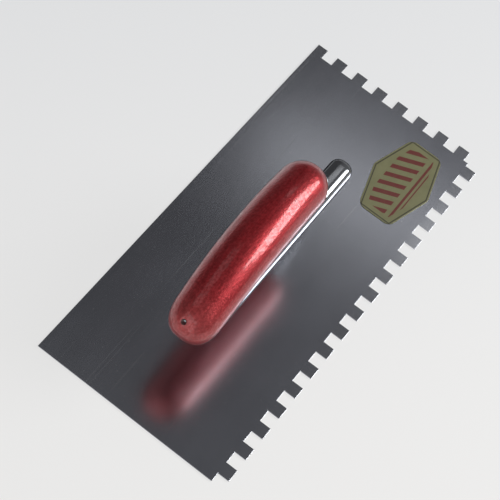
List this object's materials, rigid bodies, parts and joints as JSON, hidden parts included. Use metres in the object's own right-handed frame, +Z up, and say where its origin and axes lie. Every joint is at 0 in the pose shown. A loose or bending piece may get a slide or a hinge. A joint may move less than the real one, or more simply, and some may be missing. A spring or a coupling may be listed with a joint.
{
  "type": "notched trowel",
  "caption": "Flat rectangular steel blade, square-notched along a long edge and a short end, with a half-round rail on top and an arched red wooden handle on a bent shank.",
  "frame": {"origin": "centre of the blade's outline, on its underside", "axes": "+Z up from the blade to the handle, +X along the blade towards the toothed short end, +Y towards the plain long edge"},
  "size_m": [0.28, 0.13, 0.0824],
  "materials": {
    "blade_steel": "fine satin sheet",
    "polished_steel": "polished",
    "rivet_steel": "ground flush",
    "red_lacquered_wood": "gloss lacquer",
    "label_film": "satin film"
  },
  "bodies": {
    "root": {"blade": "blade_steel", "rail": "polished_steel", "shank": "polished_steel", "handle": "red_lacquered_wood", "label": "label_film", "rivet_1": "rivet_steel", "rivet_2": "rivet_steel", "rivet_3": "rivet_steel", "rivet_4": "rivet_steel", "rivet_5": "rivet_steel", "rivet_6": "rivet_steel"}
  },
  "joints": []
}
